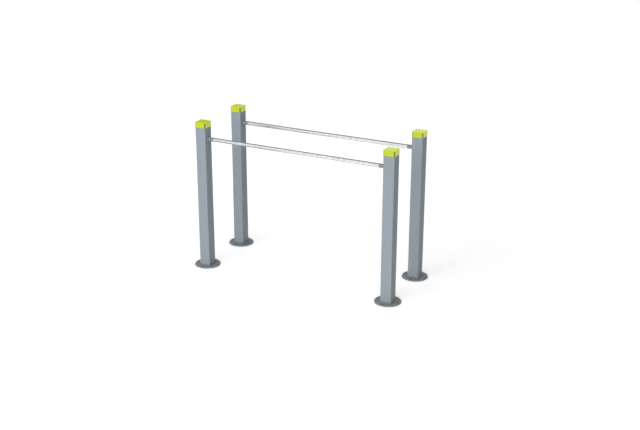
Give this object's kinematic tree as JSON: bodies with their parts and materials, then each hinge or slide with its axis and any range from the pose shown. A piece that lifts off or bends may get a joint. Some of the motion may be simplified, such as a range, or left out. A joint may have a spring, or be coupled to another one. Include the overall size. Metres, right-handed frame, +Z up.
{
  "type": "parallel dip bars",
  "caption": "Free-standing parallel dip bars: square posts on round drilled base plates, capped, with a straight round tube bar between the posts of each frame.",
  "frame": {"origin": "on the ground, in the middle between the four posts, which is the bottom centre of the bounding box", "axes": "+X along the bars to the right, +Y from the front frame to the back frame, +Z up"},
  "size_m": [2.03, 0.83, 1.355],
  "materials": {
    "grey_coat": "satin grey-blue powder coat",
    "lime_plastic": "moulded lime plastic, slightly glossy",
    "bright_zinc": "bright zinc, slightly mottled",
    "plain_steel": "turned steel"
  },
  "bodies": {
    "root": {"post_front_left": "grey_coat", "post_front_right": "grey_coat", "post_back_left": "grey_coat", "post_back_right": "grey_coat", "base_plate_front_left": "grey_coat", "base_plate_front_right": "grey_coat", "base_plate_back_left": "grey_coat", "base_plate_back_right": "grey_coat", "cap_front_left": "lime_plastic", "cap_front_right": "lime_plastic", "cap_back_left": "lime_plastic", "cap_back_right": "lime_plastic", "stub_front_left": "grey_coat", "stub_front_right": "grey_coat", "stub_back_left": "grey_coat", "stub_back_right": "grey_coat", "bar_front": "bright_zinc", "bar_back": "bright_zinc", "spigot_front_left": "plain_steel", "spigot_front_right": "plain_steel", "spigot_back_left": "plain_steel", "spigot_back_right": "plain_steel", "grub_screw_front_left": "plain_steel", "grub_screw_front_right": "plain_steel", "grub_screw_back_left": "plain_steel", "grub_screw_back_right": "plain_steel"}
  },
  "joints": []
}
